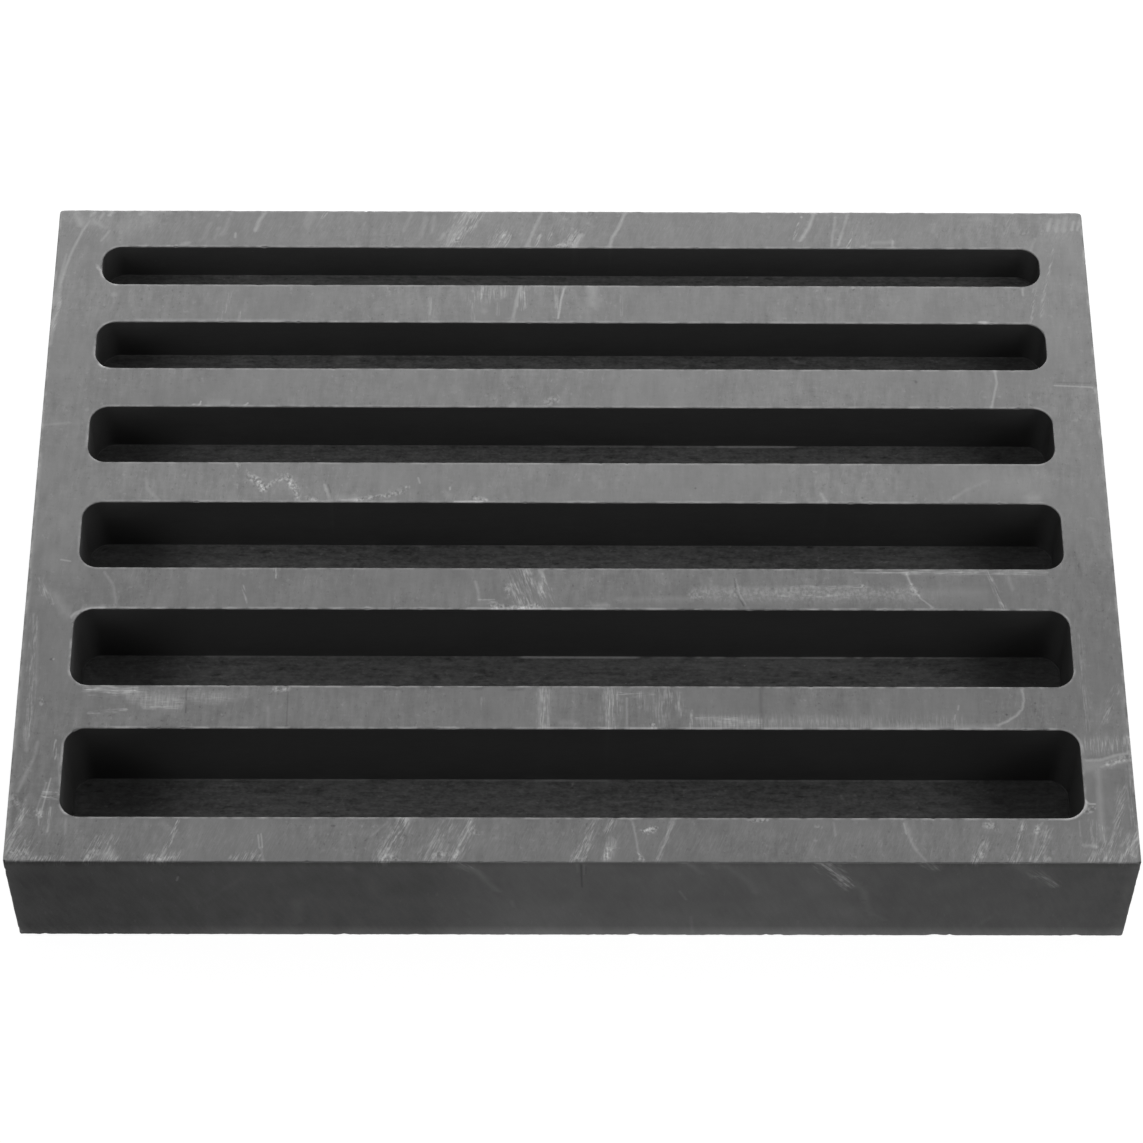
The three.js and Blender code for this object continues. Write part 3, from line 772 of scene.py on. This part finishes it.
def break_edge(body, flank, place, tips, dice):
    """The broken edge along the top or the bottom of an upright face, between the tips of two corners.
    Returns the row where the top face or the bottom face goes on."""
    if place == "top":
        height, down, least, crumbs, slot = HEIGHT, 1, TOP_BREAK, TOP_CRUMBS, TOP
    else:
        height, down, least, crumbs, slot = 0, -1, BOTTOM_BREAK, BOTTOM_CRUMBS, SIDES
    span = stations(flank.run, STATION)
    edge = [(*flank.at(s), height) for s in span]
    widths = edge_breaks(edge, least, random_chips(edge, dice, *crumbs))
    widths[0] = widths[-1] = CORNER_BREAK
    rim, middle, end = [], [], []
    for s, width in zip(span, widths):
        at = flank.at(s)
        if s == span[0]:
            rim.append(tips[0])
        elif s == span[-1]:
            rim.append(tips[1])
        else:
            rim.append(body.point(*(at - flank.normal * width), height))
        middle.append(body.point(*(at - flank.normal * ROUNDING * width), height - down * ROUNDING * width))
        end.append(body.point(*at, height - down * width))
    flank.middles[place], flank.ends[place] = middle, end
    body.strip(rim, middle, slot)
    body.strip(middle, end, slot)
    if place == "bottom":
        return rim

    inside = list(zip(span, widths))[1:-1]
    band = [body.point(*(flank.at(s) - flank.normal * (width + RIM)), height) for s, width in inside]
    band = [rim[0], *band, rim[-1]]
    body.strip(band, rim, TOP)
    # The front edge gets a painted shade; the others get polish and painted highlight
    if flank.in_front:
        body.marks["dark"].update(dict.fromkeys(middle + end, FRONT_EDGE_SHADE))
    else:
        body.marks["rim"].update(dict.fromkeys(rim + middle, OUTER_POLISH_AND_HIGHLIGHT))
    return band


def inward_from(corner):
    """The step along both axes from a corner of the block into it."""
    return Vector((-math.copysign(1, corner.x), -math.copysign(1, corner.y)))


def break_corner(body, corner, before, after, tips, dice):
    """The broken upright edge between two faces. Returns its row on each of them."""
    heights = stations(HEIGHT, LEVEL)
    edge = [(*corner, z) for z in heights]
    widths = edge_breaks(edge, UPRIGHT_BREAK, random_chips(edge, dice, *UPRIGHT_CRUMBS))
    widths[0] = widths[-1] = CORNER_BREAK
    level_ends = {heights[0]: "bottom", heights[-1]: "top"}
    first, middle, last = [], [], []
    for z, width in zip(heights, widths):
        middle.append(body.point(*(corner + inward_from(corner) * ROUNDING * width), z))
        if z in level_ends:
            first.append(before.ends[level_ends[z]][-1])
            last.append(after.ends[level_ends[z]][0])
        else:
            first.append(body.point(*(corner - before.along * width), z))
            last.append(body.point(*(corner + after.along * width), z))
    body.strip(first, middle, SIDES)
    body.strip(middle, last, SIDES)
    for place, level in (("top", -1), ("bottom", 0)):
        between = (before.middles[place][-1], tips[place], after.middles[place][0])
        ring = (first[level], *between, last[level])
        for a, b in zip(ring, ring[1:]):
            body.face((middle[level], a, b), SIDES)
    return first, last


def fill_flank(body, flank, rising, falling):
    """The flat of an upright face, inside the rows of its broken edges."""
    outline = flank.ends["bottom"] + rising[1:-1] + flank.ends["top"][::-1] + falling[::-1][1:-1]
    marks = FRONT_MARKS if flank.in_front else {}
    inner = [(x + flank.run / 2, z + HEIGHT / 2) for x, z in grid_points(flank.run, HEIGHT, PLATE_PITCH)]
    inner += [(x + LENGTH / 2, z) for x, z in mark_points(marks)]
    margin = 2 * PLATE_MARGIN
    inner = [
        (s, z)
        for s, z in inner
        if margin < s < flank.run - margin and margin < z < HEIGHT - PLATE_MARGIN
    ]
    ids = outline + body.fill(outline, [], inner, flank.flatten, flank.raise_up, SIDES)
    set_marks(body, marks, ids, from_front)


def add_sides(body, dice):
    """The four upright faces with the edges and corners round them. Returns the top and bottom rows."""
    x, y = LENGTH / 2, WIDTH / 2
    corners = [Vector(corner) for corner in ((-x, -y), (x, -y), (x, y), (-x, y))]
    tips = []
    for corner in corners:
        tip = corner + inward_from(corner) * CORNER_BREAK
        tips.append({"top": body.point(*tip, HEIGHT), "bottom": body.point(*tip, 0)})
    flanks = [Flank(corners[i], corners[(i + 1) % 4], in_front=i == 0) for i in range(4)]
    rows = {"top": [], "bottom": []}
    for i, flank in enumerate(flanks):
        for place in rows:
            ends = (tips[i][place], tips[(i + 1) % 4][place])
            rows[place] += break_edge(body, flank, place, ends, dice)[:-1]
    columns = [break_corner(body, corners[i], flanks[i - 1], flanks[i], tips[i], dice) for i in range(4)]
    for i, flank in enumerate(flanks):
        fill_flank(body, flank, columns[(i + 1) % 4][0], columns[i][1])
    return rows["top"], rows["bottom"]


def add_top(body, outline, mouths):
    """The top face, with its marks."""
    moulds = list(pockets())

    def clear(x, y, margin):
        gap = margin + RIM
        if abs(x) > LENGTH / 2 - gap or abs(y) > WIDTH / 2 - gap:
            return False
        return all(from_mouth(x, y - middle, side) > gap for side, middle in moulds)

    inner = [(x, y) for x, y in grid_points(LENGTH, WIDTH, PLATE_PITCH) if clear(x, y, PLATE_MARGIN)]
    inner += [(x, y) for x, y in mark_points(TOP_MARKS) if clear(x, y, PLATE_MARGIN / 2)]
    body.fill_level(outline, mouths, inner, HEIGHT, TOP)
    ids = [i for i, point in enumerate(body.points) if point[2] > HEIGHT - MARKED_EDGE]
    set_marks(body, TOP_MARKS, ids, from_above)


def build_block():
    """The whole block as one closed mesh."""
    dice = random.Random(SEED)
    body = Body()
    top_row, bottom_row = add_sides(body, dice)
    mouths = [add_pocket(body, side, middle, dice) for side, middle in pockets()]
    add_top(body, top_row, mouths)
    inner = [
        (x, y)
        for x, y in grid_points(LENGTH, WIDTH, BOTTOM_PITCH)
        if abs(x) < LENGTH / 2 - BOTTOM_MARGIN and abs(y) < WIDTH / 2 - BOTTOM_MARGIN
    ]
    body.fill_level(bottom_row, [], inner, 0, SIDES)

    mesh = bpy.data.meshes.new("graphite_block")
    mesh.from_pydata([Vector(point) * MM for point in body.points], [], body.faces)
    mesh.polygons.foreach_set("material_index", body.slots)
    for kind, values in body.marks.items():
        layer = mesh.attributes.new(kind, "FLOAT", "POINT")
        layer.data.foreach_set("value", [values.get(i, 0.0) for i in range(len(body.points))])
    shape = bmesh.new()
    shape.from_mesh(mesh)
    bmesh.ops.recalc_face_normals(shape, faces=shape.faces)
    for face in shape.faces:
        face.smooth = True
    for edge in shape.edges:
        edge.smooth = edge.calc_face_angle(math.pi) < math.radians(SMOOTH_TURN)
    shape.to_mesh(mesh)
    shape.free()
    block = bpy.data.objects.new("graphite_block", mesh)
    bpy.context.collection.objects.link(block)
    return block


def feed(tree, socket, value):
    """Gives a socket its value, which is a number or another node's output."""
    if isinstance(value, bpy.types.NodeSocket):
        tree.links.new(value, socket)
    else:
        socket.default_value = value


def add_node(tree, kind, *first, settings=None, **named):
    """A new node with values for its first inputs, or for the ones that are named."""
    node = tree.nodes.new("ShaderNode" + kind)
    for name, setting in (settings or {}).items():
        setattr(node, name, setting)
    for socket, value in zip(node.inputs, first):
        feed(tree, socket, value)
    for name, value in named.items():
        feed(tree, node.inputs[name], value)
    return node


class Shader:
    """Builds one material's nodes. A value is a number or another node's output."""

    def __init__(self, name):
        self.material = bpy.data.materials.new(name)
        self.material.use_nodes = True
        self.tree = self.material.node_tree
        self.surface = self.tree.nodes["Principled BSDF"]
        place = self.node("TexCoord").outputs["Object"]
        self.place = self.node("VectorMath", place, settings={"operation": "SCALE"}, Scale=1 / MM).outputs[0]

    def node(self, kind, *first, **named):
        return add_node(self.tree, kind, *first, **named)

    def math(self, operation, *values):
        return self.node("Math", *values, settings={"operation": operation}).outputs[0]

    def total(self, first, *others):
        for value in others:
            first = self.math("ADD", first, value)
        return first

    def product(self, first, *others):
        for value in others:
            first = self.math("MULTIPLY", first, value)
        return first

    def mark(self, kind):
        return self.node("Attribute", settings={"attribute_name": kind}).outputs["Fac"]

    def height(self):
        """Millimetres above the bottom face."""
        return self.node("SeparateXYZ", self.place).outputs["Z"]

    def between(self, value, start, end, low, high):
        """Turns start to end into low to high, and holds it there."""
        return self.node("MapRange", value, start, end, low, high).outputs[0]

    def noise(self, size, seed, start, end, low, high, detail=2, turn=(0, 0, 0)):
        """Noise that goes from low to high where it passes from start to end. Its grains have this size
        along x, y and z in millimetres, and are turned by these degrees."""
        mapping = self.node(
            "Mapping",
            settings={"vector_type": "TEXTURE"},
            Vector=self.place,
            Location=[seed * shift for shift in SEED_SHIFT],
            Rotation=[math.radians(angle) for angle in turn],
            Scale=size,
        )
        texture = self.node("TexNoise", Vector=mapping.outputs[0], Scale=1, Detail=detail)
        return self.between(texture.outputs["Fac"], start, end, low, high)

    def uneven(self, size, seed, amount, detail=2, turn=(0, 0, 0)):
        """Noise that goes up and down by this amount."""
        return self.noise(size, seed, NOISE_LOW, NOISE_HIGH, -amount, amount, detail, turn)

    def finish(self, grey, roughness, specular, texture, relief):
        """The material with these looks, and with its texture standing up this far."""
        bump = self.node("Bump", Height=texture, Distance=relief * MM)
        looks = {
            "Base Color": grey,
            "Roughness": roughness,
            "Specular IOR Level": specular,
            "Normal": bump.outputs[0],
        }
        for name, value in looks.items():
            feed(self.tree, self.surface.inputs[name], value)
        return self.material


def streaks(s, kind, size, turn, seed):
    """Fine bright streaks inside the marks of one kind, broken into dashes."""
    lines = s.noise(size, seed, 0.44, 0.64, 0, 1, turn=turn)
    dashes = s.noise((0.5, 0.5, 0.5), seed + 0.5, 0.36, 0.58, 0.5, 1.1)
    return s.product(s.mark(kind), lines, dashes)


def grains(s, kind, size, seed):
    """Bright grains, darker between them, inside the marks of one kind."""
    return s.product(s.mark(kind), s.noise(size, seed, 0.4, 0.68, -0.12, 1, detail=3))


def hatch(s, kind, fine, run, seed):
    """Faint fine lines across and along, inside the marks of one kind."""
    upright = s.noise((fine, run, run), seed, 0.42, 0.66, 0, 0.6)
    level = s.noise((run, fine, fine), seed + 0.5, 0.46, 0.66, 0, 0.5)
    return s.product(s.mark(kind), s.total(0.15, upright, level))


def brightening(s):
    """How much the marks brighten the graphite: each kind has its own texture."""
    return s.total(
        streaks(s, "rising", (0.12, 1.1, 1.1), (0, 0, -23), 31),
        streaks(s, "falling", (0.14, 1.2, 1.2), (0, 0, 18), 32),
        streaks(s, "upright", (0.14, 1.6, 1.6), (0, 0, 0), 33),
        streaks(s, "level", (1.4, 0.14, 0.5), (0, 0, 0), 34),
        grains(s, "dots", (0.27, 0.34, 0.34), 35),
        hatch(s, "mottle", 0.15, 1.2, 41),
        s.product(s.mark("soft"), 0.5),
        s.product(s.mark("scratch"), 0.8),
    )


def burnished_top():
    """The top face and the broken edges of its rims."""
    s = Shader("graphite_burnished")
    busy = s.noise((15, 9, 15), 9, 0.4, 0.62, 0.4, 1.2)  # how strong the texture is from place to place
    texture = s.total(
        s.uneven((0.7, 2.4, 2.4), 3, 0.14, detail=3, turn=(0, 0, -2)),
        s.uneven((0.16, 0.9, 0.9), 4, 0.035, turn=(0, 0, 2)),
        s.uneven((1.1, 0.4, 1.1), 36, 0.06, detail=3),
        s.uneven((0.22, 0.22, 0.22), 5, 0.03),
        s.noise((0.16, 1.5, 1.5), 37, 0.62, 0.72, 0, 0.16, turn=(0, 0, -12)),
        s.noise((0.35, 0.5, 0.5), 38, 0.26, 0.36, -0.3, 0),
        s.noise((0.5, 0.6, 0.6), 43, 0.64, 0.76, 0, 0.3),
    )
    marks = brightening(s)
    value = s.total(
        TOP_PLAIN,
        s.uneven((26, 20, 26), 1, 0.05, detail=3),
        s.uneven((3.2, 4, 3.2), 2, 0.09, detail=3),
        s.uneven((1.5, 9, 9), 45, 0.05),
        s.product(texture, busy),
        s.product(marks, TOP_MARKED),
        # the rim mark: polish and painted highlight along the edges
        s.product(s.mark("rim"), s.noise((1.6, 1.6, 1.6), 39, 0.4, 0.62, -0.1, 0.9, detail=4)),
        s.mark("broad"),
        s.product(s.mark("shade"), -1),
        # dark marks: dark specks, and painted shade along the front edge
        s.product(s.mark("dark"), -0.7),
    )
    roughness = s.between(marks, 0, 1, 0.48, 0.4)
    return s.finish(s.product(value, TOP_GREY), roughness, 0.5, texture, RELIEF)


def sawn_sides():
    """The upright faces and the bottom, lighter towards the bottom edge."""
    s = Shader("graphite_sawn")
    texture = s.total(
        s.uneven((9, 9, 5), 6, 0.08, detail=3),
        s.uneven((1.8, 1.8, 3.5), 7, 0.09, detail=3),
        s.uneven((0.5, 0.5, 2.5), 40, 0.07, turn=(0, -20, 0)),
        s.uneven((0.2, 0.2, 0.2), 8, 0.06),
        s.noise((0.3, 0.3, 1.4), 44, 0.64, 0.76, 0, 0.25),
    )
    marks = s.total(brightening(s), streaks(s, "arc", (0.22, 0.22, 1.6), (0, -37, 0), 42))
    lightening = s.total(*(s.between(s.height(), start, full, 0, most) for start, full, most in BOTTOM_LIGHTENING))
    # On the front face the broad marks are painted light
    value = s.total(SIDE_PLAIN, s.mark("broad"), texture, s.product(marks, SIDE_MARKED))
    value = s.product(value, s.total(1, lightening))
    # dark marks: a dark line, and painted shade along the top edge
    value = s.total(value, s.product(s.mark("dark"), -0.5))
    return s.finish(s.product(value, SIDE_GREY), 0.55, 0.1, texture, RELIEF)


def milled(name, grey, uneven, roughness, specular, seed):
    """A milled face, more or less uneven. It takes its noises from this seed and the next six."""
    s = Shader(name)
    texture = s.total(
        s.uneven((3.2, 0.4, 0.4), seed, 0.26, detail=3),
        s.uneven((1.1, 0.6, 0.6), seed + 1, 0.3, detail=3),
        s.uneven((0.4, 0.24, 0.24), seed + 2, 0.28),
        s.noise((0.6, 0.4, 0.4), seed + 4, 0.62, 0.76, 0, 0.7),
        s.noise((1.4, 0.4, 0.4), seed + 5, 0.26, 0.38, -0.45, 0),
    )
    value = s.total(
        1,
        s.uneven((12, 5, 5), seed + 3, 0.12, detail=3),
        s.product(texture, uneven),
        s.noise((0.4, 0.3, 0.4), seed + 6, 0.73, 0.8, 0, 1.2),
        s.product(s.mark("soft"), 1.2),
        # the rim mark: polish and painted highlight
        s.product(s.mark("rim"), 1.3),
        s.product(s.mark("dark"), -0.6),
    )
    # The shade mark is painted shade inside the bar moulds
    lit = s.total(1, s.product(s.mark("shade"), -1))
    return s.finish(s.product(value, lit, grey), roughness, specular, texture, MILLED_RELIEF * uneven)


def softbox(name, place, aim, size, power):
    lamp = bpy.data.lights.new(name, "AREA")
    lamp.shape = "RECTANGLE"
    lamp.size, lamp.size_y = (side * MM for side in size)
    lamp.energy = power
    holder = bpy.data.objects.new(name, lamp)
    holder.location = Vector(place) * MM
    holder.visible_camera = False
    holder.rotation_euler = (Vector(aim) - Vector(place)).to_track_quat("-Z", "Y").to_euler()
    bpy.context.collection.objects.link(holder)


def seen_directly(tree):
    """One for rays from the camera, in reflections and through glass, and nothing for the light on things."""
    rays = add_node(tree, "LightPath").outputs
    result = rays["Is Camera Ray"]
    for kind in ("Is Glossy Ray", "Is Transmission Ray"):
        result = add_node(tree, "Math", result, rays[kind], settings={"operation": "MAXIMUM"}).outputs[0]
    return result


def end_tree(tree, output, share, lit, seen):
    """Mixes the shader that lights things with the one that is seen directly, by the share of the second."""
    mix = add_node(tree, "MixShader", share, lit.outputs[0], seen.outputs[0])
    add_node(tree, output, mix.outputs[0])


def empty_tree(owner):
    owner.use_nodes = True
    owner.node_tree.nodes.clear()
    return owner.node_tree


def studio():
    """White surroundings, a white floor that keeps the shadow, and four soft lamps."""
    world = bpy.data.worlds.new("studio")
    bpy.context.scene.world = world
    tree = empty_tree(world)
    white = (1, 1, 1, 1)
    around = add_node(tree, "Background", Color=white, Strength=AMBIENT)
    seen = add_node(tree, "Background", Color=white)
    end_tree(tree, "OutputWorld", seen_directly(tree), around, seen)

    half = STAGE_HALF * MM
    corners = [(-half, -half, 0), (half, -half, 0), (half, half, 0), (-half, half, 0)]
    mesh = bpy.data.meshes.new("floor")
    mesh.from_pydata(corners, [], [(0, 1, 2, 3)])
    floor = bpy.data.objects.new("floor", mesh)
    bpy.context.collection.objects.link(floor)
    material = bpy.data.materials.new("studio_floor")
    tree = empty_tree(material)
    matt = add_node(tree, "BsdfDiffuse", Color=(STAGE_GREY, STAGE_GREY, STAGE_GREY, 1))
    glow = add_node(tree, "Emission", Strength=STAGE_WHITE)
    share = add_node(tree, "Math", seen_directly(tree), STAGE_GLOW, settings={"operation": "MULTIPLY"})
    end_tree(tree, "OutputMaterial", share.outputs[0], matt, glow)
    mesh.materials.append(material)

    for lamp in LAMPS:
        softbox(*lamp)


studio()
block = build_block()
for material in (
    burnished_top(),
    sawn_sides(),
    milled("graphite_milled_wall", WALL_GREY, uneven=0.3, roughness=0.35, specular=1.0, seed=10),
    milled("graphite_milled_floor", FLOOR_GREY, uneven=0.8, roughness=0.6, specular=0.2, seed=20),
):
    block.data.materials.append(material)
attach(block, "root")
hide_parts(NODE)

lens = bpy.data.cameras.new("camera")
lens.lens = CAMERA_LENS
lens.sensor_width = CAMERA_SENSOR
camera = bpy.data.objects.new("camera", lens)
camera.location = Vector(CAMERA_PLACE) * MM
camera.rotation_euler = [math.radians(turn) for turn in CAMERA_TURN]
bpy.context.collection.objects.link(camera)
bpy.context.scene.camera = camera
bpy.context.scene.view_settings.view_transform = "Standard"
